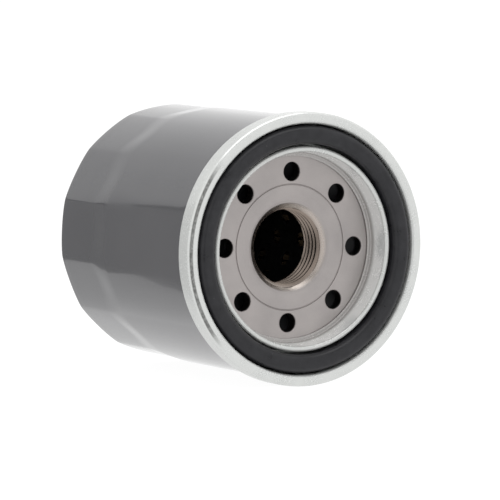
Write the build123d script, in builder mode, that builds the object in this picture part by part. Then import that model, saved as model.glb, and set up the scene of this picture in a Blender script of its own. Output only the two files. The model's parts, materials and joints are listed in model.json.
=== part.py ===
from build123d import *
import math
import os

os.makedirs("parts", exist_ok=True)

# Spin-on oil filter for a small engine.
# Frame: millimetres, +Z up, the filter lies on its side. The axis is Y: the threaded face looks to -Y,
# the closed end is at +Y. The origin is on the axis at the outer end of the threaded wall.
# Every round profile is drawn in Plane.XY as (radius, y) and revolved about Axis.Y.

# ---------------------------------------------------------------- driving dimensions
THREAD_MINOR_R = 9.188      # M20 x 1.5 internal thread, basic minor radius
THREAD_LEN = 6.2            # length of the threaded wall
LEAD_IN_R = 10.75           # rounded mouth of the hub

FACE_Y = -1.8               # outer face of the tapping plate
PLATE_T = 3.0               # plate thickness
PLATE_R = 31.0              # plate outer radius
HUB_R = 12.6                # outside of the extruded hub
HUB_END_Y = 7.0
STEP_R = 15.5               # coined step round the hub
HOLE_N = 8                  # oil inlet holes
HOLE_D = 4.6
HOLE_PCD = 37.26
HOLE_PHASE = 1.9            # degrees from +Z towards +X

LID_T = 0.55                # retainer sheet
LIP_R = 25.2                # outside of the inner lip
LIP_CREST_Y = -8.24
RIM_R = 33.6                # outside of the double seam
RIM_FRONT_Y = -9.8
RIM_BACK_Y = -4.3

GASKET_RI, GASKET_RO = 25.8, 30.3
GASKET_SHOULDER = 1.6       # rounding of its front corners
GASKET_FRONT_Y = -10.2

CAN_R = 32.4                # outside of the can
CAN_T = 0.45
CAN_END_Y = 57.1            # outside of the closed end
FLAT_N = 14                 # wrench flats
FLAT_APOTHEM = 31.8
FLAT_PHASE = 9.3            # degrees from +Z towards -X, centre of the first flat
FLAT_START_Y = 36.4         # the shoulder leaves the round wall here
FLAT_FULL_Y = 38.8          # the flats are full depth from here

CAP_T = 0.4                 # element end caps
CAP_R = 28.5
INLET_CAP_Y = 8.8           # outer face of the thread-side cap
CLOSED_CAP_Y = 49.1         # outer face of the closed-side cap
TUBE_RI, TUBE_RO = 13.35, 13.75
POTTING_T = 2.0

PLEAT_N = 44
PLEAT_RI, PLEAT_RO = 14.3, 27.2
PAPER_T = 0.5
PLEAT_GAP = 0.12

BYPASS_TRAVEL = 2.5
BYPASS_PORT_R = 6.5
BYPASS_DISC_R = 9.4
PIN_R = 1.2
PIN_HOLE_R = 1.26

# double seam, from the outside in: middle radii of its five layers of sheet
SEAM_GAP = 0.05
SEAM_PANEL = RIM_R - LID_T / 2
BODY_HOOK = SEAM_PANEL - LID_T / 2 - CAN_T / 2 - 2 * SEAM_GAP
END_HOOK = BODY_HOOK - LID_T / 2 - CAN_T / 2 - SEAM_GAP
CAN_NECK = END_HOOK - LID_T / 2 - CAN_T / 2 - SEAM_GAP
CHUCK_WALL = CAN_NECK - LID_T / 2 - CAN_T / 2 - SEAM_GAP


def finish(part, name):
    part.label = name
    export_step(part, f"parts/{name}.step")
    print(name, round(part.volume, 2), part.is_valid)


# ---------------------------------------------------------------- canister
# Outer and inner skins are solids of their own; the sheet is what lies between them.
END_CORNER = 3.1

with BuildPart() as can_outer:
    with BuildSketch(Plane.XY):
        with BuildLine():
            FilletPolyline(
                (CAN_R, -3.5), (CAN_R, CAN_END_Y), (24.2, CAN_END_Y), (22.9, CAN_END_Y - 0.95), (0, CAN_END_Y - 0.95),
                radius=[END_CORNER, 0.9, 0.9],
            )
            Polyline((0, CAN_END_Y - 0.95), (0, -3.5), (CAN_R, -3.5))
        make_face()
    revolve(axis=Axis.Y)
    # the flats, with a sloping shoulder
    with BuildSketch(Plane.XY):
        Polygon(
            (FLAT_APOTHEM, FLAT_FULL_Y), (CAN_R + 0.4, FLAT_START_Y - 1.55), (CAN_R + 3, FLAT_START_Y - 1.55),
            (CAN_R + 3, CAN_END_Y + 2), (FLAT_APOTHEM, CAN_END_Y + 2), align=None,
        )
    flat_tool = extrude(amount=8, both=True, mode=Mode.PRIVATE)
    # the sketch stands in the +X direction; turn it so that a flat's centre comes to its angle from +Z towards -X
    for k in range(FLAT_N):
        a = -(90 + FLAT_PHASE + 360 / FLAT_N * k)
        add(flat_tool.rotate(Axis.Y, a), mode=Mode.SUBTRACT)

with BuildPart() as can_inner:
    with BuildSketch(Plane.XY):
        with BuildLine():
            FilletPolyline(
                (CAN_R - CAN_T, -3.5), (CAN_R - CAN_T, CAN_END_Y - CAN_T), (24.2, CAN_END_Y - CAN_T),
                (22.9, CAN_END_Y - CAN_T - 0.95), (0, CAN_END_Y - CAN_T - 0.95),
                radius=[END_CORNER - CAN_T, 0.9, 0.9],
            )
            Polyline((0, CAN_END_Y - CAN_T - 0.95), (0, -3.5), (CAN_R - CAN_T, -3.5))
        make_face()
    revolve(axis=Axis.Y)
    with BuildSketch(Plane.XY):
        Polygon(
            (FLAT_APOTHEM - CAN_T, FLAT_FULL_Y), (CAN_R - CAN_T + 0.4, FLAT_START_Y - 1.55),
            (CAN_R + 3, FLAT_START_Y - 1.55), (CAN_R + 3, CAN_END_Y + 2), (FLAT_APOTHEM - CAN_T, CAN_END_Y + 2),
            align=None,
        )
    flat_tool_in = extrude(amount=8, both=True, mode=Mode.PRIVATE)
    for k in range(FLAT_N):
        a = -(90 + FLAT_PHASE + 360 / FLAT_N * k)
        add(flat_tool_in.rotate(Axis.Y, a), mode=Mode.SUBTRACT)

# neck and body hook, rolled into the double seam
with BuildPart() as canister:
    add(can_outer.part)
    add(can_inner.part, mode=Mode.SUBTRACT)
    with BuildSketch(Plane.XY):
        with BuildLine():
            FilletPolyline(
                (BODY_HOOK, -5.35), (BODY_HOOK, -8.9), (CAN_NECK, -8.9), (CAN_NECK, -4.25),
                (CAN_R - CAN_T / 2, -3.6), (CAN_R - CAN_T / 2, -3.4),
                radius=[0.45, 0.45, 0.5, 0.2],
            )
            offset(amount=CAN_T / 2, side=Side.BOTH)
        make_face()
    revolve(axis=Axis.Y)
finish(canister.part, "canister")

# ---------------------------------------------------------------- gasket retainer (seaming lid)
LID_Y = FACE_Y - LID_T / 2
with BuildPart() as gasket_retainer:
    with BuildSketch(Plane.XY):
        with BuildLine():
            FilletPolyline(
                (22.7, LID_Y), (23.7, LID_Y), (LIP_R - LID_T / 2 - 0.75, LIP_CREST_Y + LID_T / 2),
                (LIP_R - LID_T / 2, LIP_CREST_Y + LID_T / 2), (25.05, LID_Y), (CHUCK_WALL - 0.02, LID_Y),
                (CHUCK_WALL, RIM_FRONT_Y + LID_T / 2), (SEAM_PANEL, RIM_FRONT_Y + LID_T / 2),
                (SEAM_PANEL, RIM_BACK_Y - LID_T / 2), (END_HOOK, RIM_BACK_Y - LID_T / 2), (END_HOOK, -7.7),
                radius=[0.9, 0.36, 0.36, 0.45, 0.8, 0.7, 0.55, 0.5, 0.5],
            )
            offset(amount=LID_T / 2, side=Side.BOTH)
        make_face()
    revolve(axis=Axis.Y)
finish(gasket_retainer.part, "gasket_retainer")

# ---------------------------------------------------------------- sealing compound inside the seam
with BuildPart() as seam_compound:
    with BuildSketch(Plane.XY):
        with Locations(((BODY_HOOK + CAN_NECK) / 2, -8.33)):
            RectangleRounded(0.56, 0.5, 0.12)
    revolve(axis=Axis.Y)
finish(seam_compound.part, "seam_compound")

# ---------------------------------------------------------------- tapping plate with its hub
with BuildPart() as base_plate:
    with BuildSketch(Plane.XY):
        with BuildLine():
            Polyline(
                (THREAD_MINOR_R, 0), (THREAD_MINOR_R, THREAD_LEN), (10.0, HUB_END_Y), (12.2, HUB_END_Y),
                (HUB_R, HUB_END_Y - 0.4), (HUB_R, FACE_Y + PLATE_T + 0.9),
            )
            RadiusArc((HUB_R, FACE_Y + PLATE_T + 0.9), (HUB_R + 0.9, FACE_Y + PLATE_T), 0.9)
            Polyline(
                (HUB_R + 0.9, FACE_Y + PLATE_T), (PLATE_R - 0.5, FACE_Y + PLATE_T), (PLATE_R, FACE_Y + PLATE_T - 0.5),
                (PLATE_R, FACE_Y + 0.6), (PLATE_R - 0.6, FACE_Y), (STEP_R + 0.2, FACE_Y), (STEP_R, FACE_Y + 0.22),
                (STEP_R - 0.2, FACE_Y + 0.02), (12.6, FACE_Y + 0.1), (11.5, FACE_Y + 0.38), (LEAD_IN_R, FACE_Y + 0.85),
                (THREAD_MINOR_R, 0),
            )
        make_face()
    revolve(axis=Axis.Y)
    with BuildSketch(Plane.XZ.offset(10)):
        for k in range(HOLE_N):
            a = math.radians(HOLE_PHASE + 360 / HOLE_N * k)
            with Locations((HOLE_PCD / 2 * math.sin(a), HOLE_PCD / 2 * math.cos(a))):
                Circle(HOLE_D / 2)
    extrude(amount=-20, mode=Mode.SUBTRACT)
finish(base_plate.part, "base_plate")

# ---------------------------------------------------------------- weld spots of the retainer, under the gasket
with BuildPart() as weld_spots:
    with BuildSketch(Plane.XZ.offset(-(FACE_Y - LID_T))):
        for k in range(6):
            a = math.radians(14 + 60 * k)
            with Locations((28.3 * math.sin(a), 28.3 * math.cos(a))):
                Circle(1.5)
    extrude(amount=0.14)
finish(weld_spots.part, "weld_spots")

# ---------------------------------------------------------------- base gasket
with BuildPart() as base_gasket:
    with BuildSketch(Plane.XY):
        with BuildLine():
            FilletPolyline(
                (GASKET_RI, -2.62), (GASKET_RO, -2.62), (GASKET_RO, GASKET_FRONT_Y), (GASKET_RI, GASKET_FRONT_Y),
                close=True, radius=[0.25, 0.25, GASKET_SHOULDER, GASKET_SHOULDER],
            )
        make_face()
    revolve(axis=Axis.Y)
finish(base_gasket.part, "base_gasket")

# ---------------------------------------------------------------- anti-drainback valve: collar on the hub, skirt over the holes
with BuildPart() as anti_drainback_valve:
    with BuildSketch(Plane.XY):
        with BuildLine():
            Polyline(
                (12.7, 2.6), (14.3, 2.6), (14.7, 4.6), (16.6, 4.2), (22.9, 1.45), (23.9, 1.25), (24.1, 1.7),
                (23.2, 2.45), (17.2, 5.3), (15.2, 6.1), (14.6, 7.2), (14.6, 8.75), (12.7, 8.75), (12.7, 2.6),
            )
        make_face()
    revolve(axis=Axis.Y)
finish(anti_drainback_valve.part, "anti_drainback_valve")

# ---------------------------------------------------------------- element: thread-side end cap
with BuildPart() as inlet_end_cap:
    with BuildSketch(Plane.XY):
        with BuildLine():
            FilletPolyline(
                (13.1, 12.4), (13.1, INLET_CAP_Y + CAP_T / 2), (CAP_R - CAP_T / 2, INLET_CAP_Y + CAP_T / 2),
                (CAP_R - CAP_T / 2, 12.0), radius=[0.35, 0.5],
            )
            offset(amount=CAP_T / 2, side=Side.BOTH)
        make_face()
    revolve(axis=Axis.Y)
finish(inlet_end_cap.part, "inlet_end_cap")

P0 = INLET_CAP_Y + CAP_T            # potting starts on the cap's inner face
P1 = P0 + POTTING_T
P3 = CLOSED_CAP_Y - CAP_T
P2 = P3 - POTTING_T
with BuildPart() as inlet_potting:
    with BuildSketch(Plane.XY):
        with BuildLine():
            Polyline((13.8, P0), (27.7, P0), (28.08, P0 + 0.4), (28.08, P1), (13.8, P1), (13.8, P0))
        make_face()
    revolve(axis=Axis.Y)
finish(inlet_potting.part, "inlet_potting")

# ---------------------------------------------------------------- element: pleated paper, a closed zig-zag ring
step = 2 * math.pi / PLEAT_N
outer_pts, inner_pts = [], []
for k in range(PLEAT_N):
    tip, fold = k * step, (k + 0.5) * step
    for s in (-1, 1):
        a = tip + s * (PAPER_T + PLEAT_GAP) / PLEAT_RO
        outer_pts.append((PLEAT_RO * math.sin(a), PLEAT_RO * math.cos(a)))
        a = tip + s * PLEAT_GAP / (PLEAT_RO - PAPER_T)
        inner_pts.append(((PLEAT_RO - PAPER_T) * math.sin(a), (PLEAT_RO - PAPER_T) * math.cos(a)))
    for s in (-1, 1):
        a = fold + s * PLEAT_GAP / (PLEAT_RI + PAPER_T)
        outer_pts.append(((PLEAT_RI + PAPER_T) * math.sin(a), (PLEAT_RI + PAPER_T) * math.cos(a)))
        a = fold + s * (PAPER_T + PLEAT_GAP) / PLEAT_RI
        inner_pts.append((PLEAT_RI * math.sin(a), PLEAT_RI * math.cos(a)))
with BuildPart() as filter_pleats:
    with BuildSketch(Plane.XZ.offset(-P2)):
        with BuildLine():
            Polyline(*outer_pts, close=True)
        make_face()
        with BuildLine():
            Polyline(*inner_pts, close=True)
        make_face(mode=Mode.SUBTRACT)
    extrude(amount=P2 - P1)
finish(filter_pleats.part, "filter_pleats")

# ---------------------------------------------------------------- element: clip over the pleat that joins the paper's two ends
CLIP_IN = PAPER_T + PLEAT_GAP + 0.12
with BuildPart() as pleat_seam_clip:
    with BuildSketch(Plane.XZ.offset(-(P2 - 0.5))):
        with Locations((0, PLEAT_RO - 1.2)):
            Rectangle(2 * CLIP_IN + 0.6, 3.1)
        with Locations((0, PLEAT_RO - 1.55)):
            Rectangle(2 * CLIP_IN, 3.2, mode=Mode.SUBTRACT)
    extrude(amount=P2 - P1 - 1.0)
finish(pleat_seam_clip.part, "pleat_seam_clip")

# ---------------------------------------------------------------- element: perforated centre tube
with BuildPart() as center_tube:
    with BuildSketch(Plane.XZ.offset(-(P3 - 0.02))):
        Circle(TUBE_RO)
        Circle(TUBE_RI, mode=Mode.SUBTRACT)
    extrude(amount=P3 - 0.02 - (P0 + 0.25))
    for row in range(6):
        y = 14.5 + 5.6 * row
        for k in range(4):
            a = 22.5 * (row % 2) + 45 * k
            hole = Plane(origin=(0, y, 0), z_dir=(math.sin(math.radians(a)), 0, math.cos(math.radians(a))))
            with BuildSketch(hole):
                Circle(1.8)
            extrude(amount=20, both=True, mode=Mode.SUBTRACT)
finish(center_tube.part, "center_tube")

with BuildPart() as closed_potting:
    with BuildSketch(Plane.XY):
        with BuildLine():
            Polyline((13.8, P2), (28.08, P2), (28.08, P3 - 0.4), (27.7, P3), (13.8, P3), (13.8, P2))
        make_face()
    revolve(axis=Axis.Y)
finish(closed_potting.part, "closed_potting")

with BuildPart() as closed_end_cap:
    with BuildSketch(Plane.XY):
        with BuildLine():
            FilletPolyline(
                (CAP_R - CAP_T / 2, CLOSED_CAP_Y - 3.2), (CAP_R - CAP_T / 2, CLOSED_CAP_Y - CAP_T / 2),
                (BYPASS_PORT_R + CAP_T / 2, CLOSED_CAP_Y - CAP_T / 2), radius=[0.5],
            )
            offset(amount=CAP_T / 2, side=Side.BOTH)
        make_face()
    revolve(axis=Axis.Y)
finish(closed_end_cap.part, "closed_end_cap")

# ---------------------------------------------------------------- bypass valve in the closed-side cap
# The disc opens towards -Y, into the centre tube.
SEAL_T = 1.0
DISC_T = 0.6
SEAT_Y = P3 - SEAL_T                # sealing plane
CAGE_Y = CLOSED_CAP_Y - 10.2        # middle of the cage's floor
with BuildPart() as bypass_seal:
    with BuildSketch(Plane.XY):
        with BuildLine():
            Polyline(
                (6.8, P3), (6.8, SEAT_Y + 0.25), (7.4, SEAT_Y), (8.8, SEAT_Y), (9.7, SEAT_Y + 0.3), (9.7, P3), (6.8, P3),
            )
        make_face()
    revolve(axis=Axis.Y)
finish(bypass_seal.part, "bypass_seal")

with BuildPart() as bypass_housing:
    with BuildSketch(Plane.XY):
        with BuildLine():
            FilletPolyline(
                (12.8, P3 - CAP_T / 2), (10.75, P3 - CAP_T / 2), (10.35, CAGE_Y), (2.9, CAGE_Y), (2.6, CAGE_Y - 0.9),
                (PIN_HOLE_R + CAP_T / 2, CAGE_Y - 0.9), radius=[0.5, 1.2, 0.3, 0.3],
            )
            offset(amount=CAP_T / 2, side=Side.BOTH)
        make_face()
    revolve(axis=Axis.Y)
    for k in range(2):
        window = Plane(origin=(0, CAGE_Y + 4.2, 0), z_dir=(math.sin(math.radians(45 + 90 * k)), 0, math.cos(math.radians(45 + 90 * k))), x_dir=(0, 1, 0))
        with BuildSketch(window):
            RectangleRounded(5.2, 8.0, 1.2)
        extrude(amount=14, both=True, mode=Mode.SUBTRACT)
    # bore the guide hole to size, so that its wall is a true cylinder
    with BuildSketch(Plane.XZ.offset(-(CAGE_Y + 4))):
        Circle(PIN_HOLE_R)
    extrude(amount=10, mode=Mode.SUBTRACT)
finish(bypass_housing.part, "bypass_housing")

with BuildPart() as bypass_disc:
    with BuildSketch(Plane.XY):
        with BuildLine():
            Polyline(
                (PIN_R, SEAT_Y - 0.03), (BYPASS_DISC_R, SEAT_Y - 0.03), (BYPASS_DISC_R, SEAT_Y - 0.03 - DISC_T),
                (4.4, SEAT_Y - 0.03 - DISC_T), (3.8, SEAT_Y - 0.7 - DISC_T), (PIN_R, SEAT_Y - 0.7 - DISC_T),
                (PIN_R, SEAT_Y - 0.03),
            )
        make_face()
    revolve(axis=Axis.Y)
finish(bypass_disc.part, "bypass_disc")

with BuildPart() as bypass_guide_pin:
    with BuildSketch(Plane.XY):
        with BuildLine():
            Polyline(
                (0, SEAT_Y + 0.62), (1.9, SEAT_Y + 0.62), (2.3, SEAT_Y + 0.3), (2.3, SEAT_Y - 0.03), (PIN_R, SEAT_Y - 0.03),
                (PIN_R, CAGE_Y - 2.6), (PIN_R - 0.4, CAGE_Y - 3.0), (0, CAGE_Y - 3.0), (0, SEAT_Y + 0.62),
            )
        make_face()
    revolve(axis=Axis.Y)
finish(bypass_guide_pin.part, "bypass_guide_pin")

# spring between the cage's floor and the disc
SPRING_WIRE_R = 0.36
s0, s1 = CAGE_Y + CAP_T / 2 + SPRING_WIRE_R + 0.05, SEAT_Y - 0.03 - DISC_T - SPRING_WIRE_R - 0.05
with BuildPart() as bypass_spring:
    with BuildLine() as bypass_path:
        Helix(pitch=(s1 - s0) / 5, height=s1 - s0, radius=5.2, center=(0, s0, 0), direction=(0, 1, 0))
    with BuildSketch(Plane(origin=bypass_path.line @ 0, z_dir=bypass_path.line % 0)):
        Circle(SPRING_WIRE_R)
    sweep(is_frenet=True)
finish(bypass_spring.part, "bypass_spring")

# ---------------------------------------------------------------- conical spring that pushes the element against the thread end
ES_WIRE_R = 0.8
e0, e1 = CLOSED_CAP_Y + ES_WIRE_R + 0.04, CAN_END_Y - CAN_T - 0.95 - ES_WIRE_R - 0.04
ES_R0, ES_R1 = 10.5, 18.0
with BuildPart() as element_spring:
    with BuildLine() as es_path:
        Helix(
            pitch=(e1 - e0) / 2.75, height=e1 - e0, radius=ES_R0, center=(0, e0, 0), direction=(0, 1, 0),
            cone_angle=math.degrees(math.atan2(ES_R1 - ES_R0, e1 - e0)),
        )
    with BuildSketch(Plane(origin=es_path.line @ 0, z_dir=es_path.line % 0)):
        Circle(ES_WIRE_R)
    sweep(is_frenet=True)
finish(element_spring.part, "element_spring")
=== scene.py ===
import bpy
import json
import math
import numpy as np
from mathutils import Vector, Matrix, noise
from mathutils.geometry import delaunay_2d_cdt


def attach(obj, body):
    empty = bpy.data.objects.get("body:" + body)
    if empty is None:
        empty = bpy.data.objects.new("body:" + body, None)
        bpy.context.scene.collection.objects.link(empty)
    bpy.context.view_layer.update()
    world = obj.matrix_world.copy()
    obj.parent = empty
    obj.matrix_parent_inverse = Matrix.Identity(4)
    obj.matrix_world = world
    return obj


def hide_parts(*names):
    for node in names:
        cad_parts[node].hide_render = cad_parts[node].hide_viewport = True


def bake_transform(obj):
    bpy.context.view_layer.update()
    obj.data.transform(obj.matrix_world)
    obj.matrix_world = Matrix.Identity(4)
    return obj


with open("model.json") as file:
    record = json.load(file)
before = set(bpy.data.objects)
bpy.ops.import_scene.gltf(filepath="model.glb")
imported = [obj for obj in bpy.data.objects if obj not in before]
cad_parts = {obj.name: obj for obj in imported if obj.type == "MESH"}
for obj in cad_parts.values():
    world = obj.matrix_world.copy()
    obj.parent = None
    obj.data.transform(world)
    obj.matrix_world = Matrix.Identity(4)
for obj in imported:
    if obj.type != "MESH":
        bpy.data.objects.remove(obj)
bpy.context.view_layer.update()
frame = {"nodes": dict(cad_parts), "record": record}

MM = 0.001
TAU = 2 * math.pi
sc = bpy.context.scene
sc.view_settings.view_transform = "Standard"
sc.view_settings.look = "None"
sc.view_settings.exposure = 0.0
sc.view_settings.gamma = 1.0

# ------------------------------------------------------------------ 2-D helpers, (radius, y) in mm


def fillet(points, radii, closed=False, seg=7):
    """Dense polyline through points, each inner corner rounded by its radius."""
    n = len(points)
    out = []
    for i, p in enumerate(points):
        if not closed and i in (0, n - 1):
            out.append(tuple(p))
            continue
        r = radii[i] if closed else radii[i - 1]
        a, b = points[(i - 1) % n], points[(i + 1) % n]
        va = np.array(a, float) - p
        vb = np.array(b, float) - p
        la, lb = np.linalg.norm(va), np.linalg.norm(vb)
        if r <= 0 or la < 1e-9 or lb < 1e-9:
            out.append(tuple(p))
            continue
        va, vb = va / la, vb / lb
        cosang = float(np.clip(va @ vb, -1, 1))
        ang = math.acos(cosang)
        if ang > math.pi - 0.01:
            out.append(tuple(p))
            continue
        d = min(r / math.tan(ang / 2), 0.499 * la, 0.499 * lb)
        rr = d * math.tan(ang / 2)
        t0 = np.array(p) + va * d
        bis = va + vb
        bis = bis / np.linalg.norm(bis)
        c = np.array(p) + bis * (rr / math.sin(ang / 2))
        s0 = math.atan2(*(t0 - c)[::-1])
        t1 = np.array(p) + vb * d
        s1 = math.atan2(*(t1 - c)[::-1])
        ds = (s1 - s0 + math.pi) % TAU - math.pi
        for k in range(seg + 1):
            a_ = s0 + ds * k / seg
            out.append((c[0] + rr * math.cos(a_), c[1] + rr * math.sin(a_)))
    return out


def densify(path, step, closed=False):
    out = []
    n = len(path)
    for i in range(n if closed else n - 1):
        a = np.array(path[i], float)
        b = np.array(path[(i + 1) % n], float)
        m = max(1, int(math.ceil(np.linalg.norm(b - a) / step)))
        for k in range(m):
            out.append(tuple(a + (b - a) * k / m))
    if not closed:
        out.append(tuple(path[-1]))
    return out


def clean(path, tol=1e-4, closed=True):
    out = [path[0]]
    for p in path[1:]:
        if math.dist(p, out[-1]) > tol:
            out.append(p)
    if closed and math.dist(out[0], out[-1]) < tol:
        out.pop()
    return out


def sheet(mid, t, end_seg=6):
    """Closed outline of a sheet of thickness t about an open middle line, with rounded ends."""
    mid = clean(mid, closed=False)
    p = np.array(mid)
    tan = np.zeros_like(p)
    tan[1:-1] = p[2:] - p[:-2]
    tan[0], tan[-1] = p[1] - p[0], p[-1] - p[-2]
    tan /= np.linalg.norm(tan, axis=1)[:, None]
    nor = np.stack([-tan[:, 1], tan[:, 0]], 1)
    left = p + nor * t / 2
    right = p - nor * t / 2
    out = [tuple(q) for q in left]
    base = math.atan2(nor[-1][1], nor[-1][0])
    for k in range(1, end_seg):
        a = base - math.pi * k / end_seg
        out.append((p[-1][0] + t / 2 * math.cos(a), p[-1][1] + t / 2 * math.sin(a)))
    out += [tuple(q) for q in right[::-1]]
    base = math.atan2(-nor[0][1], -nor[0][0])
    for k in range(1, end_seg):
        a = base - math.pi * k / end_seg
        out.append((p[0][0] + t / 2 * math.cos(a), p[0][1] + t / 2 * math.sin(a)))
    return clean(out)


def smooth(a, b, x):
    t = np.clip((x - a) / (b - a), 0, 1)
    return t * t * (3 - 2 * t)


def softmin(a, b, k):
    """Smooth minimum of a and b, rounded over about k."""
    h = np.clip(0.5 + 0.5 * (b - a) / k, 0, 1)
    return b * (1 - h) + a * h - k * h * (1 - h)


# ------------------------------------------------------------------ mesh helpers


def finish_mesh(name, verts, faces, sharp=32, merge=None, mats=None, mat_index=None):
    me = bpy.data.meshes.new(name)
    me.from_pydata([tuple(v) for v in verts], [], faces)
    me.validate()
    o = bpy.data.objects.new(name, me)
    sc.collection.objects.link(o)
    import bmesh
    bm = bmesh.new()
    bm.from_mesh(me)
    if merge:
        bmesh.ops.remove_doubles(bm, verts=bm.verts, dist=merge)
        bmesh.ops.dissolve_degenerate(bm, dist=merge * 0.5, edges=bm.edges)
    bmesh.ops.recalc_face_normals(bm, faces=bm.faces)
    bm.to_mesh(me)
    bm.free()
    for p in me.polygons:
        p.use_smooth = True
    me.set_sharp_from_angle(angle=math.radians(sharp))
    return o


def ring_point(r, y, th):
    """Angle from +Z towards +X."""
    return (r * math.sin(th) * MM, y * MM, r * math.cos(th) * MM)


def lathe(name, outline, n=256, shape=None, sharp=32):
    """Closed (r, y) outline turned about the Y axis. shape(r, y, theta arrays) may move the radius and y."""
    prof = np.array(outline, float)
    m = len(prof)
    th = np.arange(n) * TAU / n
    R = np.repeat(prof[:, 0][:, None], n, 1)
    Y = np.repeat(prof[:, 1][:, None], n, 1)
    T = np.repeat(th[None, :], m, 0)
    if shape:
        R, Y = shape(R, Y, T)
    P = np.stack([R * np.sin(T), Y, R * np.cos(T)], -1) * MM
    verts = P.reshape(-1, 3)
    faces = []
    for i in range(m):
        a, b = i * n, ((i + 1) % m) * n
        for j in range(n):
            k = (j + 1) % n
            faces.append((a + j, a + k, b + k, b + j))
    return finish_mesh(name, verts, faces, sharp)


def lathe_open(name, path, n=256, shape=None, sharp=32):
    """Open (r, y) path whose ends lie on the axis (r = 0), turned about the Y axis: a closed skin."""
    prof = np.array(path, float)
    m = len(prof)
    th = np.arange(n) * TAU / n
    R = np.repeat(prof[1:-1, 0][:, None], n, 1)
    Y = np.repeat(prof[1:-1, 1][:, None], n, 1)
    T = np.repeat(th[None, :], m - 2, 0)
    if shape:
        R, Y = shape(R, Y, T)
    P = np.stack([R * np.sin(T), Y, R * np.cos(T)], -1) * MM
    verts = [tuple(v) for v in P.reshape(-1, 3)]
    faces = []
    for i in range(m - 3):
        a, b = i * n, (i + 1) * n
        for j in range(n):
            k = (j + 1) % n
            faces.append((a + j, a + k, b + k, b + j))
    first, last = len(verts), len(verts) + 1
    verts.append((0, prof[0, 1] * MM, 0))
    verts.append((0, prof[-1, 1] * MM, 0))
    for j in range(n):
        k = (j + 1) % n
        faces.append((first, k, j))
        faces.append((last, (m - 3) * n + j, (m - 3) * n + k))
    return finish_mesh(name, verts, faces, sharp)


def lumpy(T, Y, amp, seed, af=3.0, yf=0.05):
    """Slow, seamless waviness of pressed sheet, in mm."""
    out = np.zeros_like(T)
    rng = np.random.default_rng(seed)
    for k in range(1, 7):
        ph, ph2 = rng.uniform(0, TAU, 2)
        w = rng.uniform(0.5, 1.0) / k ** 0.6
        out += w * np.sin(k * T + ph) * np.sin(yf * (1 + 0.35 * k) * Y + ph2)
    return amp * out / 2.2


# ------------------------------------------------------------------ material helpers


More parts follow.
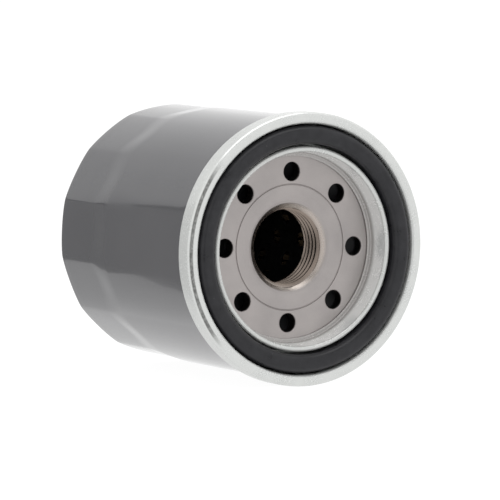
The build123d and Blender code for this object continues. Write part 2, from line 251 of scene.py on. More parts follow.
class Mat:
    """A small builder for node materials. Everything is procedural, on object coordinates in metres."""

    def __init__(self, name):
        self.m = bpy.data.materials.new(name)
        self.m.use_nodes = True
        self.nt = self.m.node_tree
        self.nt.nodes.clear()
        self.out = self.nt.nodes.new("ShaderNodeOutputMaterial")
        self.bsdf = self.nt.nodes.new("ShaderNodeBsdfPrincipled")
        self.nt.links.new(self.bsdf.outputs[0], self.out.inputs[0])
        self.tc = self.nt.nodes.new("ShaderNodeTexCoord").outputs["Object"]

    def set(self, **kw):
        for k, v in kw.items():
            self.bsdf.inputs[k.replace("_", " ")].default_value = v
        return self

    def node(self, kind, **props):
        n = self.nt.nodes.new(kind)
        for k, v in props.items():
            setattr(n, k, v)
        return n

    def link(self, a, b):
        self.nt.links.new(a, b)

    def scaled(self, s):
        n = self.node("ShaderNodeVectorMath", operation="MULTIPLY")
        self.link(self.tc, n.inputs[0])
        n.inputs[1].default_value = s
        return n.outputs[0]

    def noise(self, vec, scale, detail=3.0, rough=0.55, dist=0.0):
        n = self.node("ShaderNodeTexNoise")
        self.link(vec, n.inputs["Vector"])
        n.inputs["Scale"].default_value = scale
        n.inputs["Detail"].default_value = detail
        n.inputs["Roughness"].default_value = rough
        n.inputs["Distortion"].default_value = dist
        return n.outputs["Fac"]

    def voronoi(self, vec, scale, feature="F1"):
        n = self.node("ShaderNodeTexVoronoi", feature=feature)
        self.link(vec, n.inputs["Vector"])
        n.inputs["Scale"].default_value = scale
        return n.outputs["Distance"]

    def range(self, x, a, b, c, d, clamp=True, smoothstep=False):
        n = self.node("ShaderNodeMapRange", clamp=clamp)
        if smoothstep:
            n.interpolation_type = "SMOOTHSTEP"
        self.link(x, n.inputs[0])
        for i, v in enumerate((a, b, c, d), 1):
            n.inputs[i].default_value = v
        return n.outputs[0]

    def math(self, op, a, b=None, c=None):
        n = self.node("ShaderNodeMath", operation=op)
        for i, v in enumerate((a, b, c)):
            if v is None:
                continue
            if isinstance(v, (int, float)):
                n.inputs[i].default_value = v
            else:
                self.link(v, n.inputs[i])
        return n.outputs[0]

    def mix(self, fac, a, b):
        n = self.node("ShaderNodeMix", data_type="RGBA")
        for i, v in ((0, fac), (6, a), (7, b)):
            if isinstance(v, (tuple, list)):
                n.inputs[i].default_value = (*v[:3], 1)
            elif isinstance(v, (int, float)):
                n.inputs[i].default_value = v
            else:
                self.link(v, n.inputs[i])
        return n.outputs[2]

    def xyz(self):
        n = self.node("ShaderNodeSeparateXYZ")
        self.link(self.tc, n.inputs[0])
        return n.outputs

    def radius(self):
        """Distance from the filter's axis, in mm."""
        x, y, z = self.xyz()
        return self.math("MULTIPLY", self.math("SQRT", self.math("ADD", self.math("MULTIPLY", x, x), self.math("MULTIPLY", z, z))), 1000.0)

    def angle(self):
        x, y, z = self.xyz()
        return self.math("ARCTAN2", x, z)

    def y_mm(self):
        return self.math("MULTIPLY", self.xyz()[1], 1000.0)

    def polar(self, ascale, rscale, yscale):
        """Coordinates that run with the turning: (cos, sin) of the angle, radius and height, so that noise streaks go round."""
        a = self.angle()
        c = self.node("ShaderNodeCombineXYZ")
        self.link(self.math("MULTIPLY", self.math("SINE", a), ascale), c.inputs[0])
        self.link(self.math("MULTIPLY", self.math("COSINE", a), ascale), c.inputs[1])
        r = self.math("MULTIPLY", self.radius(), rscale)
        y = self.math("MULTIPLY", self.y_mm(), yscale)
        self.link(self.math("ADD", r, y), c.inputs[2])
        return c.outputs[0]

    def color(self, sock):
        self.link(sock, self.bsdf.inputs["Base Color"])

    def rough(self, sock):
        self.link(sock, self.bsdf.inputs["Roughness"])

    def bump(self, height, dist_mm, strength=1.0, prev=None):
        n = self.node("ShaderNodeBump")
        n.inputs["Strength"].default_value = strength
        n.inputs["Distance"].default_value = dist_mm * MM
        self.link(height, n.inputs["Height"])
        if prev is not None:
            self.link(prev, n.inputs["Normal"])
        return n.outputs[0]

    def normal(self, sock):
        self.link(sock, self.bsdf.inputs["Normal"])


def paint_material():
    m = Mat("gunmetal_enamel")
    m.set(Metallic=0.0, IOR=1.68, Coat_Weight=0.9, Coat_Roughness=0.045, Coat_IOR=1.5)
    v = m.scaled((1000, 1000, 1000))
    big = m.noise(v, 0.035, 2, 0.5)
    fleck = m.noise(v, 6.0, 2, 0.6)
    base = m.mix(m.range(big, 0.3, 0.7, 0, 1), (0.078, 0.078, 0.083), (0.088, 0.087, 0.092))
    base = m.mix(m.range(fleck, 0.35, 0.75, 0.0, 0.15), base, (0.12, 0.12, 0.126))
    # thin rub marks running round the can
    rub = m.noise(m.polar(26, 0.0, 2.2), 1.0, 5, 0.7)
    rubm = m.range(rub, 0.69, 0.78, 0.0, 0.08)
    base = m.mix(rubm, base, (0.2, 0.2, 0.205))
    m.color(base)
    m.rough(m.math("ADD", m.range(big, 0.3, 0.7, 0.12, 0.17), m.math("MULTIPLY", rubm, 0.5)))
    peel = m.noise(v, 0.85, 2, 0.5)
    dust = m.voronoi(v, 0.16)
    b = m.bump(peel, 0.006, 0.12)
    b = m.bump(m.range(dust, 0.0, 0.03, 1.0, 0.0), 0.03, 0.3, b)
    m.normal(b)
    return m.m


def zinc_material(name="bright_zinc", tint=(0.66, 0.67, 0.655), dark=(0.60, 0.612, 0.60), r0=0.2, r1=0.28):
    m = Mat(name)
    m.set(Metallic=0.4)
    v = m.scaled((1000, 1000, 1000))
    cloud = m.noise(v, 0.22, 4, 0.6)
    grain = m.noise(m.polar(60, 9.0, 9.0), 1.0, 3, 0.6)
    fine = m.noise(v, 3.0, 3, 0.65)
    c = m.mix(m.range(cloud, 0.25, 0.75, 0, 1), tint, dark)
    c = m.mix(m.range(fine, 0.6, 0.8, 0, 0.3), c, tuple(0.86 * q for q in dark))
    r, y = m.radius(), m.y_mm()
    # the flange on the plate keeps the plate's tone
    flange = m.math("MULTIPLY", m.range(r, 23.5, 24.3, 1.0, 0.0, smoothstep=True), m.range(y, -4.2, -2.6, 0.0, 1.0, smoothstep=True))
    c = m.mix(m.math("MULTIPLY", flange, 0.85), c, (0.36, 0.34, 0.33))
    # painted highlight: the inner lip is painted near white where it catches the bright surroundings
    lip = m.math("MULTIPLY", m.range(r, 25.0, 25.6, 1.0, 0.0), m.range(y, -4.4, -3.0, 1.0, 0.0, smoothstep=True))
    c = m.mix(m.math("MULTIPLY", lip, 0.9), c, (0.93, 0.94, 0.93))
    # painted shade: the lip's crest is toned down to a duller grey to soften its highlight
    crest = m.math("MULTIPLY", m.range(r, 25.3, 25.8, 1.0, 0.0), m.range(y, -7.9, -7.3, 1.0, 0.0, smoothstep=True))
    c = m.mix(m.math("MULTIPLY", crest, 0.9), c, (0.55, 0.56, 0.545))
    # painted reflection: a mottled dark line along the seam's corner, standing in for dark surroundings mirrored there,
    # strongest on one side
    dr, dy = m.math("SUBTRACT", r, 33.0), m.math("SUBTRACT", y, -9.8)
    dist = m.math("SQRT", m.math("ADD", m.math("MULTIPLY", dr, dr), m.math("MULTIPLY", dy, dy)))
    ang = m.math("COSINE", m.math("ADD", m.angle(), math.pi / 2))
    line = m.math("MULTIPLY", m.range(dist, 0.3, 0.62, 1.0, 0.0, smoothstep=True), m.range(ang, 0.72, 0.86, 0.0, 1.0, smoothstep=True))
    line = m.math("MULTIPLY", line, m.range(m.noise(v, 1.6, 3, 0.6), 0.3, 0.6, 0.65, 1.0))
    c = m.mix(m.math("MULTIPLY", line, 0.92), c, (0.10, 0.10, 0.095))
    m.color(c)
    rr = m.math("ADD", m.range(cloud, 0.3, 0.7, r0, r1), m.range(grain, 0.3, 0.7, -0.04, 0.05))
    m.rough(rr)
    b = m.bump(grain, 0.004, 0.18)
    b = m.bump(fine, 0.003, 0.25, b)
    m.normal(b)
    return m.m


def plate_material():
    m = Mat("rolled_plate_steel")
    m.set(Metallic=1.0)
    v = m.scaled((1000, 1000, 1000))
    r = m.radius()
    cloud = m.noise(v, 0.10, 3, 0.55)
    grain = m.noise(m.scaled((300, 300, 2600)), 1.0, 4, 0.6)
    fine = m.noise(v, 2.2, 4, 0.7)
    c = m.mix(m.range(cloud, 0.3, 0.7, 0, 1), (0.415, 0.385, 0.375), (0.37, 0.345, 0.338))
    c = m.mix(m.range(fine, 0.55, 0.85, 0, 0.4), c, (0.32, 0.295, 0.288))
    # machined and burnished inside the mouth
    mouth = m.range(r, 10.3, 11.2, 1.0, 0.0, smoothstep=True)
    c = m.mix(m.math("MULTIPLY", mouth, 0.7), c, (0.52, 0.46, 0.41))
    # brown oil film in the thread
    y = m.y_mm()
    thr = m.math("MULTIPLY", m.range(r, 10.05, 10.5, 1.0, 0.0), m.range(y, -0.7, 0.2, 0.0, 1.0, smoothstep=True))
    c = m.mix(m.math("MULTIPLY", thr, 0.75), c, (0.19, 0.145, 0.115))
    # painted shade: the walls of the punched holes, and the plate behind them, are painted near black
    deep = m.math("MULTIPLY", m.range(r, 15.0, 15.8, 0.0, 1.0), m.range(y, -1.6, -1.0, 0.0, 1.0))
    c = m.mix(m.math("MULTIPLY", deep, 0.9), c, (0.05, 0.045, 0.04))
    m.color(c)
    rr = m.math("ADD", m.range(cloud, 0.3, 0.7, 0.34, 0.42), m.range(fine, 0.3, 0.8, -0.03, 0.06))
    rr = m.math("SUBTRACT", rr, m.math("MULTIPLY", mouth, 0.14))
    m.rough(rr)
    b = m.bump(grain, 0.006, 0.3)
    b = m.bump(fine, 0.006, 0.35, b)
    m.normal(b)
    return m.m


def rubber_material(name="black_nitrile", base=(0.012, 0.012, 0.014), hi=(0.022, 0.022, 0.025), r0=0.26, r1=0.38, oil=0.0):
    m = Mat(name)
    m.set(Metallic=0.0, IOR=1.5)
    m.bsdf.inputs["Specular IOR Level"].default_value = 0.3
    v = m.scaled((1000, 1000, 1000))
    cloud = m.noise(v, 0.35, 4, 0.6)
    fine = m.noise(v, 7.0, 3, 0.6)
    c = m.mix(m.range(cloud, 0.3, 0.7, 0, 1), base, hi)
    specks = m.voronoi(v, 0.35)
    sp = m.range(specks, 0.0, 0.07, 0.5, 0.0)
    c = m.mix(sp, c, (0.12, 0.12, 0.12))
    m.color(c)
    m.rough(m.range(cloud, 0.3, 0.7, r0, r1))
    b = m.bump(fine, 0.01, 0.25)
    b = m.bump(cloud, 0.03, 0.3, b)
    m.normal(b)
    return m.m


def steel_material(name, col, col2, r0, r1, streak=(60, 4.0, 6.0), metallic=1.0, spot=None):
    m = Mat(name)
    m.set(Metallic=metallic)
    v = m.scaled((1000, 1000, 1000))
    cloud = m.noise(v, 0.18, 4, 0.6)
    grain = m.noise(m.polar(*streak), 1.0, 4, 0.6)
    c = m.mix(m.range(cloud, 0.3, 0.7, 0, 1), col, col2)
    if spot:
        c = m.mix(m.range(m.noise(v, 1.4, 3, 0.6), 0.6, 0.72, 0, 0.6), c, spot)
    m.color(c)
    m.rough(m.math("ADD", m.range(cloud, 0.3, 0.7, r0, r1), m.range(grain, 0.3, 0.7, -0.04, 0.04)))
    m.normal(m.bump(grain, 0.01, 0.4))
    return m.m


def paper_material():
    m = Mat("filter_paper")
    m.set(Metallic=0.0, Roughness=0.85)
    v = m.scaled((1000, 1000, 1000))
    fib = m.noise(m.scaled((2200, 500, 2200)), 1.0, 5, 0.7)
    cloud = m.noise(v, 0.4, 3, 0.6)
    c = m.mix(m.range(cloud, 0.3, 0.7, 0, 1), (0.62, 0.44, 0.2), (0.72, 0.53, 0.27))
    c = m.mix(m.range(fib, 0.45, 0.75, 0, 0.5), c, (0.8, 0.64, 0.38))
    # oil soaks up from the ends of the pleats
    y = m.y_mm()
    wet = m.range(y, 11.0, 14.0, 0.35, 0.0)
    c = m.mix(wet, c, (0.3, 0.18, 0.07))
    # and darkest round the centre tube
    c = m.mix(m.range(m.radius(), 15.0, 19.0, 0.9, 0.0), c, (0.05, 0.03, 0.015))
    m.color(c)
    m.rough(m.range(fib, 0.3, 0.7, 0.75, 0.95))
    m.normal(m.bump(fib, 0.03, 0.6))
    return m.m


def plastisol_material(name, a, b_, rough=0.45):
    m = Mat(name)
    m.set(Metallic=0.0, IOR=1.48)
    v = m.scaled((1000, 1000, 1000))
    cloud = m.noise(v, 0.5, 4, 0.6, 0.6)
    c = m.mix(m.range(cloud, 0.3, 0.7, 0, 1), a, b_)
    m.color(c)
    m.rough(m.range(cloud, 0.3, 0.7, rough - 0.08, rough + 0.1))
    m.normal(m.bump(m.noise(v, 1.3, 3, 0.5), 0.05, 0.5))
    return m.m


MATS = {
    "can_paint": paint_material(),
    "zinc_steel": zinc_material(),
    "plate_steel": plate_material(),
    "gasket_rubber": rubber_material(),
    "valve_rubber": rubber_material("valve_nitrile", (0.012, 0.012, 0.014), (0.022, 0.022, 0.024), 0.45, 0.6),
    "seal_rubber": rubber_material("seal_nitrile", (0.02, 0.02, 0.02), (0.03, 0.03, 0.03), 0.4, 0.55),
    "weld_steel": steel_material("weld_spot_steel", (0.42, 0.4, 0.38), (0.3, 0.27, 0.25), 0.35, 0.5, spot=(0.16, 0.17, 0.24)),
    "compound": plastisol_material("seam_compound_grey", (0.24, 0.23, 0.2), (0.32, 0.31, 0.27), 0.6),
    "element_steel": steel_material("tinplate", (0.66, 0.66, 0.63), (0.55, 0.55, 0.53), 0.2, 0.32),
    "tube_steel": steel_material("plain_steel", (0.11, 0.11, 0.108), (0.075, 0.075, 0.074), 0.38, 0.52, spot=(0.14, 0.12, 0.1)),
    "disc_steel": steel_material("stamped_steel", (0.2, 0.19, 0.18), (0.14, 0.135, 0.13), 0.32, 0.45),
    "spring_steel": steel_material("spring_wire", (0.3, 0.3, 0.32), (0.2, 0.2, 0.22), 0.28, 0.42),
    "potting": plastisol_material("plastisol", (0.42, 0.12, 0.06), (0.5, 0.17, 0.08)),
    "filter_paper": paper_material(),
}
slot_of = {s["node"]: s["material_slot"] for s in frame["record"]["subparts"]}


def dress(o, slot):
    o.data.materials.clear()
    o.data.materials.append(MATS[slot])


def place(o, node, body="filter"):
    dress(o, slot_of[node])
    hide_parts(node)
    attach(o, body)
    return o


# every CAD node that stays gets its finish
for node, obj in frame["nodes"].items():
    obj.data.materials.clear()
    obj.data.materials.append(MATS[slot_of[node]])

# ------------------------------------------------------------------ canister
CAN_R, CAN_T, END_Y = 32.4, 0.45, 57.1
APO = 31.78
PH = math.radians(-9.3)          # centre of one flat, measured from +Z towards +X
FLATS = 14
SECT = TAU / FLATS


def can_shape(inner):
    off = CAN_T if inner else 0.0

    def f(R, Y, T):
        d = (T - PH + SECT / 2) % SECT - SECT / 2
        # the flats sink in over a soft shoulder, stay slightly bulged and keep soft corners
        grow = smooth(32.6, 41.0, Y + 0.8 * np.cos(FLATS * (T - PH)))
        top = CAN_R - off
        poly = softmin((APO - 0.12 - off) / np.cos(d), np.full_like(d, top - 0.02), 0.75)
        deep = 0.45 + 0.13 * np.cos(T + 2.2)
        full = deep * poly + (1 - deep) * (top - 0.22)
        drop = np.maximum(top - full, 0.0) * grow
        R2 = R - drop * smooth(top - 4.5, top - 0.6, R) * (Y > 32.0)
        w = smooth(-3.0, 4.0, Y) * smooth(END_Y, END_Y - 6, Y)
        R2 = R2 + (lumpy(T, Y, 0.022, 5) - 0.022) * w
        # the end panel is very slightly crowned
        wy = smooth(22.0, 0.0, R)
        return R2, Y + 0.18 * wy
    return f


BH, EH, NECK, CHUCK, PANEL = 32.725, 32.175, 31.625, 31.075, 33.325
WR = CAN_R - CAN_T / 2
hook = fillet([(BH, -5.35), (BH, -8.9), (NECK, -8.9), (NECK, -4.25), (WR, -3.55), (WR, -2.2)], [0.45, 0.45, 0.6, 0.5], seg=8)
wall = [(WR, y) for y in (-1.5, 0.5, 3, 6, 9, 12, 15, 18, 21, 24, 27, 29, 31, 32)]
wall += [(WR, y) for y in np.arange(32.4, 42.4, 0.2)]
wall += [(WR, y) for y in np.arange(42.4, 53.4, 0.8)]
H = CAN_T / 2
end_mid = fillet([(WR, 53.4), (WR, END_Y - H), (24.2, END_Y - H), (22.9, END_Y - 0.95 - H), (0.0, END_Y - 0.95 - H)], [2.88, 0.9, 0.9], seg=16)
mid = clean(hook + wall + end_mid[1:-1], closed=False)
mid = np.array(mid)


def side(mid, t, sign):
    tan = np.zeros_like(mid)
    tan[1:-1] = mid[2:] - mid[:-2]
    tan[0], tan[-1] = mid[1] - mid[0], mid[-1] - mid[-2]
    tan /= np.linalg.norm(tan, axis=1)[:, None]
    nor = np.stack([-tan[:, 1], tan[:, 0]], 1)
    return mid + sign * nor * t / 2, nor


A, norm = side(mid, CAN_T, 1)
B, _ = side(mid, CAN_T, -1)
# which side is the outside: at the wall the outer skin has the larger radius
iw = int(np.argmin(np.abs(mid[:, 1] - 20)))
outer, inner = (A, B) if A[iw, 0] > B[iw, 0] else (B, A)
panel = [(r, END_Y - 0.95) for r in (18, 14, 10, 7, 4, 2)]
panel_in = [(r, END_Y - 0.95 - CAN_T) for r in (18, 14, 10, 7, 4, 2)]
tip = [(33.05 + 0.25 * math.cos(a), -6.35 + 0.25 * math.sin(a)) for a in np.linspace(0, math.pi, 8)]
# outer path runs from the hook's tip over the wall to the axis; the inner one comes back
out_path = [tuple(p) for p in outer] + panel + [(0.0, END_Y - 0.95)]
in_path = [tuple(p) for p in inner] + panel_in + [(0.0, END_Y - 0.95 - CAN_T)]


def skin(path, shape, n):
    prof = np.array(path[:-1], float)
    m = len(prof)
    th = np.arange(n) * TAU / n
    R = np.repeat(prof[:, 0][:, None], n, 1)
    Y = np.repeat(prof[:, 1][:, None], n, 1)
    T = np.repeat(th[None, :], m, 0)
    R, Y = shape(R, Y, T)
    P = np.stack([R * np.sin(T), Y, R * np.cos(T)], -1).reshape(-1, 3) * MM
    return P, m


NC = 360
Po, mo = skin(out_path, can_shape(False), NC)
Pi, mi = skin(in_path, can_shape(True), NC)
verts = [tuple(v) for v in Po] + [tuple(v) for v in Pi]
faces = []
for base, m in ((0, mo), (len(Po), mi)):
    for i in range(m - 1):
        a, b = base + i * NC, base + (i + 1) * NC
        for j in range(NC):
            k = (j + 1) % NC
            faces.append((a + j, a + k, b + k, b + j))
for base, m, y in ((0, mo, END_Y - 0.95 + 0.18), (len(Po), mi, END_Y - 0.95 - CAN_T + 0.18)):
    c = len(verts)
    verts.append((0, y * MM, 0))
    a = base + (m - 1) * NC
    for j in range(NC):
        faces.append((c, a + j, a + (j + 1) % NC))
# close the hook's raw edge with a flat strip between the two skins
for j in range(NC):
    k = (j + 1) % NC
    faces.append((j, len(Po) + j, len(Po) + k, k))
canister = finish_mesh("canister_shell", verts, faces, 28)
place(canister, "canister")

# ------------------------------------------------------------------ gasket retainer
FACE = -1.8
LT = 0.55
LY = FACE - LT / 2
lid_mid = fillet(
    [(22.7, LY), (23.7, LY), (24.15, -7.965), (24.925, -7.965), (25.05, LY), (CHUCK - 0.02, LY), (CHUCK, -9.525), (PANEL, -9.525),
     (PANEL, -4.575), (EH, -4.575), (EH, -7.7)],
    [0.95, 0.385, 0.385, 0.45, 0.8, 0.66, 0.58, 0.5, 0.5], seg=9)
lid_out = sheet(densify(lid_mid, 0.5), LT)


def lid_shape(R, Y, T):
    # the seaming rolls leave the skirt and the lip a little uneven
    w = smooth(30.8, 33.0, R)
    a = lumpy(T, Y, 0.014, 11) - 0.014
    b = 0.004 * np.sin(47 * T + 1.3 * np.sin(5 * T)) * smooth(32.8, 33.5, R)
    lip = smooth(26.2, 25.4, R) * smooth(-3.0, -7.0, Y)
    ripple = 0.010 * np.sin(9 * T + 0.8) + 0.005 * np.sin(23 * T)
    R2 = np.minimum(R + w * (a + b) + lip * ripple * 0.8, 33.6)
    Y2 = np.maximum(Y + lip * ripple * 0.8 + w * 0.012 * np.sin(7 * T + 2.0), -9.8)
    return R2, Y2


retainer = lathe("gasket_retainer_ring", lid_out, 384, lid_shape, 40)
place(retainer, "gasket_retainer")

# ------------------------------------------------------------------ base gasket
g = fillet([(25.8, -2.62), (30.3, -2.62), (30.3, -10.2), (25.8, -10.2)], [0.3, 0.3, 1.75, 1.75], closed=True, seg=14)
gasket = lathe("base_gasket_ring", clean(densify(clean(g), 0.35, True)), 300,
               lambda R, Y, T: (R + 0.02 * np.sin(3 * T + 0.5) + 0.008 * np.sin(17 * T), np.maximum(Y + lumpy(T, R, 0.015, 3), -10.2)), 50)
place(gasket, "base_gasket")

# ------------------------------------------------------------------ tapping plate: thread, mouth, step, holes
R0, RMAJ, P = 9.188, 10.02, 1.5
NT = 256
RPP = 16                                   # rows for one pitch
YA, YB = FACE + 0.80, 7.0                  # mouth edge, end of the hub


def thread_r(y, th):
    """Internal thread: flat crests at the minor radius, narrow roots at the major one."""
    f = ((y + 0.35) / P + th / TAU) % 1.0
    crest, root = 0.25, 0.14
    # crest half-width around 0, root around 0.5
    d = abs(f - 0.5)                        # 0.5 at crest, 0 at root
    lo, hi = root / 2, 0.5 - crest / 2
    t = min(max((d - lo) / (hi - lo), 0.0), 1.0)
    t = t + 0.06 * math.sin(2 * math.pi * t) * 0.0
    depth = (RMAJ - R0) * (1 - t)
    fade = float(smooth(YB - 0.3, YB - 1.6, y))
    return R0 + depth * fade


def mouth_r(y):
    """Lead-in: a cone from the mouth, then open."""
    if y < 0.15:
        t = (0.15 - y) / (0.15 - YA)
        return R0 + (LEAD - R0) * t ** 0.9
    return 0.0


LEAD = 10.62


def exit_r(y):
    return R0 + max(0.0, (y - 6.35)) * 1.25 if y > 6.35 else 0.0


bore_cols = []
for j in range(NT):
    th = j * TAU / NT
    col = []
    rows = int((YB - YA) / P * RPP) + 2 * RPP + 2
    y_start = YA - P
    for i in range(rows):
        y = y_start + i * P / RPP - P * th / TAU + P
        y = min(max(y - P, YA), YB)
        r = max(thread_r(y, th), mouth_r(y), exit_r(y))
        col.append(ring_point(r, y, th))
    bore_cols.append(col)
plate_v, plate_f = [], []
rows = len(bore_cols[0])
for col in bore_cols:
    plate_v += col


def idx(j, i):
    if j == NT:                             # one turn on, the rows are one pitch further
        j, i = 0, i - RPP
    return j * rows + min(max(i, 0), rows - 1)


for j in range(NT):
    for i in range(rows - 1):
        q = (idx(j, i), idx(j + 1, i), idx(j + 1, i + 1), idx(j, i + 1))
        if len(set(q)) >= 3:
            plate_f.append(tuple(dict.fromkeys(q)))


def add_rings(path, n=NT, closed=False):
    """Turned strip welded into the plate's mesh by position."""
    base = len(plate_v)
    for r, y in path:
        for j in range(n):
            plate_v.append(ring_point(r, y, j * TAU / n))
    for i in range(len(path) - 1):
        a, b = base + i * n, base + (i + 1) * n
        for j in range(n):
            k = (j + 1) % n
            plate_f.append((a + j, b + j, b + k, a + k))


# mouth and coined land, out to the step
land = fillet(
    [(max(mouth_r(YA), R0), YA), (10.95, FACE + 0.50), (11.6, FACE + 0.24), (13.2, FACE + 0.03), (15.15, FACE + 0.02), (15.32, FACE + 0.05),
     (15.42, FACE + 0.26), (15.56, FACE + 0.26), (15.66, FACE + 0.04), (15.9, FACE)],
    [0.35, 0.8, 2.0, 0.15, 0.05, 0.05, 0.05, 0.08], seg=5)
add_rings(clean(land, closed=False))
# outer rim of the plate, down and back under
R_IN, R_OUT = 15.9, 30.3
rim = fillet([(R_OUT, FACE), (31.0, FACE + 0.6), (31.0, FACE + 2.5), (30.5, FACE + 3.0), (R_OUT - 0.1, FACE + 3.0)], [0.3, 0.3, 0.3], seg=4)
add_rings(clean(rim, closed=False))
hub_back = fillet([(13.9, FACE + 3.0), (12.6, FACE + 3.0), (12.6, 6.55), (12.15, 7.0), (exit_r(7.0), 7.0)], [1.0, 0.3, 0.2], seg=6)
add_rings(clean([(13.9, FACE + 3.0)] + hub_back[1:], closed=False))

# flat faces with the eight holes, triangulated
HN, HR, PCD = 8, 2.3, 37.26
NH = 56
ROLL = 0.32                                # the punch rolls the edge over


def ring2(r, n=NT):
    return [(r * math.sin(j * TAU / n), r * math.cos(j * TAU / n)) for j in range(n)]


def hole2(k, r, n=NH):
    a = math.radians(1.9 + 45 * k)
    cx, cz = PCD / 2 * math.sin(a), PCD / 2 * math.cos(a)
    return [(cx + r * math.sin(j * TAU / n), cz + r * math.cos(j * TAU / n)) for j in range(n)]


def flat_with_holes(y, r_in, r_out, hr):
    pts, edges = [], []
    loops = [ring2(r_out), ring2(r_in)] + [hole2(k, hr) for k in range(HN)]
    for lp in loops:
        b = len(pts)
        pts += [Vector(p) for p in lp]
        edges += [(b + i, b + (i + 1) % len(lp)) for i in range(len(lp))]
    v, e, f, *_ = delaunay_2d_cdt(pts, edges, [], 1, 1e-6)
    keep = []
    cs = [(PCD / 2 * math.sin(math.radians(1.9 + 45 * k)), PCD / 2 * math.cos(math.radians(1.9 + 45 * k))) for k in range(HN)]
    for t in f:
        c = sum((v[i] for i in t), Vector((0, 0))) / len(t)
        if c.length < r_in * 0.9999 or c.length > r_out:
            continue
        if any((c.x - a) ** 2 + (c.y - b) ** 2 < (hr * 0.999) ** 2 for a, b in cs):
            continue
        keep.append(t)
    base = len(plate_v)
    plate_v.extend((p.x * MM, y * MM, p.y * MM) for p in v)
    plate_f.extend(tuple(base + i for i in t) for t in keep)


flat_with_holes(FACE, 15.9, R_OUT, HR + ROLL)
flat_with_holes(FACE + 3.0, 13.9, R_OUT - 0.1, HR + 0.12)
for k in range(HN):
    prof = [(HR + ROLL, FACE)]
    for q in range(1, 7):
        a = q / 6 * math.pi / 2
        prof.append((HR + ROLL * (1 - math.sin(a)), FACE + ROLL * (1 - math.cos(a))))
    prof += [(HR - 0.01, FACE + 0.9), (HR + 0.0, FACE + 1.6), (HR + 0.03, FACE + 2.3), (HR + 0.08, FACE + 2.85), (HR + 0.12, FACE + 3.0)]
    base = len(plate_v)
    for r, y in prof:
        plate_v.extend((p[0] * MM, y * MM, p[1] * MM) for p in hole2(k, r))
    for i in range(len(prof) - 1):
        a, b = base + i * NH, base + (i + 1) * NH
        for j in range(NH):
            q = (j + 1) % NH
            plate_f.append((a + j, a + q, b + q, b + j))
plate = finish_mesh("tapping_plate", plate_v, plate_f, 38, merge=2e-7)
place(plate, "base_plate")

# ------------------------------------------------------------------ anti-drainback valve: a collar and a bent-out skirt, turned as one fixed piece
valve_prof = fillet(
    [(12.7, 2.6), (14.3, 2.6), (14.7, 4.6), (16.6, 4.2), (22.9, 1.45), (23.9, 1.25), (24.1, 1.7), (23.2, 2.45), (17.2, 5.3), (15.2, 6.1),
     (14.6, 7.2), (14.6, 8.75), (12.7, 8.75)],
    [0.2, 0.3, 0.7, 0.8, 0.4, 0.15, 0.2, 0.4, 0.8, 0.6, 0.5, 0.2, 0.2], closed=True, seg=5)
valve = lathe("drainback_skirt", clean(densify(clean(valve_prof), 0.5, True)), 220, None, 50)
dress(valve, "valve_rubber")
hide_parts("anti_drainback_valve")
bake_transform(valve)


# ------------------------------------------------------------------ springs, with closed and ground ends
def coil(name, wire, y0, y1, r_of, active, dead=1.0, per=64, ring=14):
    """Round wire wound about the Y axis. The end turns lie flat."""
    turns = active + 2 * dead
    n = int(turns * per)
    lo, hi = y0 + wire, y1 - wire
    pitch_dead = 2 * wire * 1.02
    rise = hi - lo
    act = rise - 2 * pitch_dead * dead * 0.96
    pts = []
    for i in range(n + 1):
        t = i / per
        if t < dead:
            y = lo + pitch_dead * 0.96 * t
        elif t > turns - dead:
            y = hi - pitch_dead * 0.96 * (turns - t)
        else:
            u = (t - dead) / active
            y = lo + pitch_dead * 0.96 * dead + act * u
        r = r_of((y - lo) / rise, t)
        pts.append((r * math.sin(TAU * t), y, r * math.cos(TAU * t)))
    pts = np.array(pts)
    # soften the changes of pitch
    for _ in range(30):
        pts[1:-1, 1] = 0.25 * pts[:-2, 1] + 0.5 * pts[1:-1, 1] + 0.25 * pts[2:, 1]
    tan = np.gradient(pts, axis=0)
    tan /= np.linalg.norm(tan, axis=1)[:, None]
    v, f = [], []
    for i, p in enumerate(pts):
        rad = np.array([p[0], 0, p[2]])
        rad /= np.linalg.norm(rad)
        up = np.cross(tan[i], rad)
        up /= np.linalg.norm(up)
        rad = np.cross(up, tan[i])
        for k in range(ring):
            a = TAU * k / ring
            q = p + wire * (math.cos(a) * rad + math.sin(a) * up)
            q[1] = min(max(q[1], y0), y1)
            v.append(q * MM)
    for i in range(len(pts) - 1):
        for k in range(ring):
            a, b = i * ring, (i + 1) * ring
            f.append((a + k, a + (k + 1) % ring, b + (k + 1) % ring, b + k))
    f.append(tuple(range(ring)))
    f.append(tuple((len(pts) - 1) * ring + k for k in range(ring)))
    return finish_mesh(name, v, f, 50)


bspring = coil("relief_coil", 0.36, 39.12, 47.04, lambda u, t: 5.2, 3.6, 0.95)
dress(bspring, "spring_steel")
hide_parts("bypass_spring")
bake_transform(bspring)
espring = coil("element_push_coil", 0.8, 49.12, 55.67, lambda u, t: 10.5 + 7.5 * min(max(u, 0), 1), 1.6, 0.9, 96, 16)
place(espring, "element_spring")

# ------------------------------------------------------------------ stage: floor, light, camera
FLOOR_Z = -33.8 * MM
bpy.ops.mesh.primitive_grid_add(x_subdivisions=8, y_subdivisions=8, size=6.0, location=(0, 0, FLOOR_Z))
floor = bpy.context.object
floor.name = "studio_floor"
fm = bpy.data.materials.new("studio_floor_white")
fm.use_nodes = True
fb = fm.node_tree.nodes["Principled BSDF"]
fb.inputs["Base Color"].default_value = (0.12, 0.12, 0.12, 1)
fb.inputs["Roughness"].default_value = 0.9
fb.inputs["Specular IOR Level"].default_value = 0.0
fb.inputs["Emission Color"].default_value = (1, 1, 1, 1)
fb.inputs["Emission Strength"].default_value = 0.96
floor.data.materials.append(fm)
floor.visible_glossy = False

world = bpy.data.worlds.new("studio")
sc.world = world
world.use_nodes = True
wn = world.node_tree
wn.nodes["Background"].inputs[0].default_value = (1, 1, 1, 1)
wn.nodes["Background"].inputs[1].default_value = 1.0

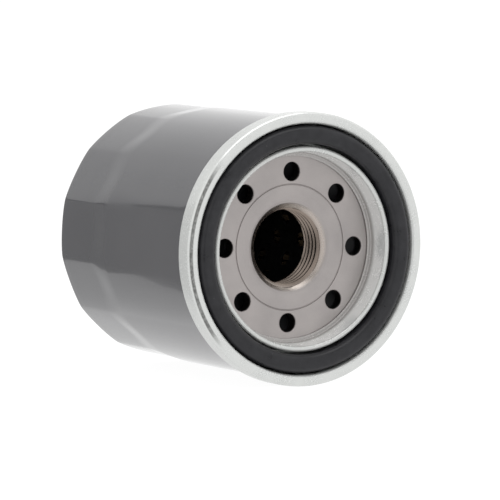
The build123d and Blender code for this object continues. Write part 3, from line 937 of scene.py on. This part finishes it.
P0 = Vector((0, FACE * MM, 0))
CAM = P0 + Vector((-0.585703, -0.929876, 0.103095))
F = Vector((0.52308, 0.84708, -0.09402)).normalized()


def area(name, loc, target, w, h, power, col=(1, 1, 1)):
    ld = bpy.data.lights.new(name, "AREA")
    ld.shape = "RECTANGLE"
    ld.size, ld.size_y = w, h
    ld.energy = power
    ld.color = col
    o = bpy.data.objects.new(name, ld)
    sc.collection.objects.link(o)
    o.location = loc
    d = Vector(target) - Vector(loc)
    o.rotation_euler = d.to_track_quat("-Z", "Y").to_euler()
    return o


area("top_softbox", (0.0, 0.0, 0.8), (0, 0.02, 0), 0.9, 0.9, 4)


def card(name, verts, faces, levels):
    """Reflector card: seen only in reflections. levels gives each vertex its brightness."""
    me = bpy.data.meshes.new(name)
    me.from_pydata(verts, [], faces)
    me.update()
    at = me.attributes.new("level", "FLOAT", "POINT")
    for i, v in enumerate(levels):
        at.data[i].value = v
    o = bpy.data.objects.new(name, me)
    sc.collection.objects.link(o)
    mt = bpy.data.materials.new(name)
    mt.use_nodes = True
    nt = mt.node_tree
    nt.nodes.clear()
    out = nt.nodes.new("ShaderNodeOutputMaterial")
    em = nt.nodes.new("ShaderNodeEmission")
    an = nt.nodes.new("ShaderNodeAttribute")
    an.attribute_name = "level"
    nt.links.new(an.outputs["Fac"], em.inputs["Strength"])
    nt.links.new(em.outputs[0], out.inputs[0])
    me.materials.append(mt)
    o.visible_camera = False
    o.visible_diffuse = False
    o.visible_shadow = False
    o.visible_transmission = False
    return o


# a wall of cards beside the can, behind it and to the left: dark in the middle, paler above.
# Each of its edges is placed by the can's own reflection of it.
CARD_X = -0.15


def mirror_hit(theta_deg, y_mm):
    """Where the camera's ray, reflected by the round wall at this angle (from +Z towards -X), meets the card's plane."""
    t = math.radians(theta_deg)
    n = Vector((-math.sin(t), 0, math.cos(t)))
    p = Vector((0, y_mm * MM, 0)) + n * 32.4 * MM
    d = (p - CAM).normalized()
    q = d - 2 * d.dot(n) * n
    k = (CARD_X - p.x) / q.x
    return p + q * k


ys = [-40, -20, -8, 0, 4, 8, 12, 16, 20, 24, 28, 32, 36, 40, 46, 54]
low_t = {-40: 108, -20: 108, -8: 107.5, 0: 106.8, 4: 106, 8: 105, 12: 103.8, 16: 102.5, 20: 102, 24: 102.4, 28: 103, 32: 103.4, 36: 103.6}
high_t = {-40: 67.5, -20: 68, -8: 68.6, 0: 69.2, 4: 69.6, 8: 70, 12: 70.3, 16: 70.7, 20: 71, 24: 71.3, 28: 71.6, 32: 71.8, 36: 72}
rows_ = []
for y in ys:
    lo_t, hi_t = low_t.get(y, 103.4), high_t.get(y, 72.2)
    row = [(t, lev) for t, lev in ((124.5, 0.95), (121, 0.84), (117, 0.74), (112.5, 0.68), (109.5, 0.66))]
    row += [(lo_t + 0.3, 0.66)]
    edge = (0.2, 0.0, 0.0, 0.45, 0.56)
    if 21 < y < 45:                                # the edge is lost in haze over the shoulder
        edge = (0.27, 0.29, 0.36, 0.42, 0.46)
    row += [(lo_t + (hi_t - lo_t) * off, lev) for off, lev in zip(
        (0.0, 0.10, 0.5, 0.88, 0.94, 0.962, 0.985, 0.992, 1.0), (0.24, 0.22, 0.22, 0.22) + edge)]
    row += [(t, lev) for t, lev in ((65.5, 0.56), (62, 0.55), (58, 0.55), (54, 0.56), (50, 0.57), (47, 0.58), (44.5, 0.6), (43, 0.62))]
    rows_.append([(tuple(mirror_hit(t, y)), lev) for t, lev in row])
# carried on backwards, growing with the distance
ref = rows_[-1]
base_y = ref[10][0][1]
d0 = math.hypot(CARD_X + 0.032, base_y - 0.05)
for far in (0.32, 0.42, 0.6, 0.9, 1.4, 2.2):
    k = math.hypot(CARD_X + 0.032, far - 0.05) / d0
    rows_.append([((CARD_X, far + (q[1] - base_y) * k, q[2] * k), lev) for q, lev in ref])
ROW = len(ref)
verts = [q for row in rows_ for q, lev in row]
levels = [lev for row in rows_ for q, lev in row]
faces = []
for i in range(len(rows_) - 1):
    for j in range(ROW - 1):
        a, b = i * ROW, (i + 1) * ROW
        faces.append((a + j, b + j, b + j + 1, a + j + 1))
card("left_card", verts, faces, levels)

# dark screens round the camera's left side: directions from the filter, azimuth from -Y towards -X
def screen(name, az, el, levels, dist=1.5):
    verts, lv = [], []
    for i, e in enumerate(el):
        for j, a_ in enumerate(az):
            ca, ce = math.radians(a_), math.radians(e)
            verts.append((-dist * math.sin(ca) * math.cos(ce), -dist * math.cos(ca) * math.cos(ce), dist * math.sin(ce)))
            lv.append(levels[i][j])
    n = len(az)
    faces = [(i * n + j, i * n + j + 1, (i + 1) * n + j + 1, (i + 1) * n + j) for i in range(len(el) - 1) for j in range(n - 1)]
    return card(name, verts, faces, lv)


screen("camera_stand", [25, 27.5, 31.5, 35.5, 38], [-40, -30, -10, 20, 34, 44],
       [[1.0, 1.0, 1.0, 1.0, 1.0], [1.0, 0.5, 0.4, 0.5, 1.0], [1.0, 0.1, 0.03, 0.1, 1.0], [1.0, 0.1, 0.03, 0.1, 1.0],
        [1.0, 0.5, 0.4, 0.5, 1.0], [1.0, 1.0, 1.0, 1.0, 1.0]])
screen("ceiling_gap", [-60, -50, -30, 0, 30, 60, 90, 110], [40, 50, 62, 75],
       [[1.0] * 8, [1.0, 0.35, 0.25, 0.25, 0.25, 0.25, 0.35, 1.0], [1.0, 0.3, 0.15, 0.15, 0.15, 0.15, 0.3, 1.0], [1.0, 0.6, 0.6, 0.6, 0.6, 0.6, 0.6, 1.0]], 1.7)
back = [0.6, 0.6, 0.62, 0.66, 0.7, 0.74, 0.84, 1.0]
screen("back_screen", [165, 172, 178, 184, 190, 196, 204, 214], [6, 14, 22, 38, 48, 60],
       [[1.0] * 8, [0.85] * 7 + [1.0], back, back, [0.8] * 7 + [1.0], [1.0] * 8], 2.6)
screen("low_back_screen", [160, 168, 180, 200, 212, 222], [-60, -48, -20, -10],
       [[1.0] * 6, [1.0, 0.86, 0.84, 0.84, 0.9, 1.0], [1.0, 0.86, 0.84, 0.84, 0.9, 1.0], [1.0] * 6], 2.6)

cam_d = bpy.data.cameras.new("camera")
cam_d.sensor_width = 36
cam_d.lens = 324
cam_d.clip_start, cam_d.clip_end = 0.05, 50
cam = bpy.data.objects.new("camera", cam_d)
sc.collection.objects.link(cam)
cam.location = CAM
cam.rotation_euler = F.to_track_quat("-Z", "Y").to_euler()
sc.camera = cam
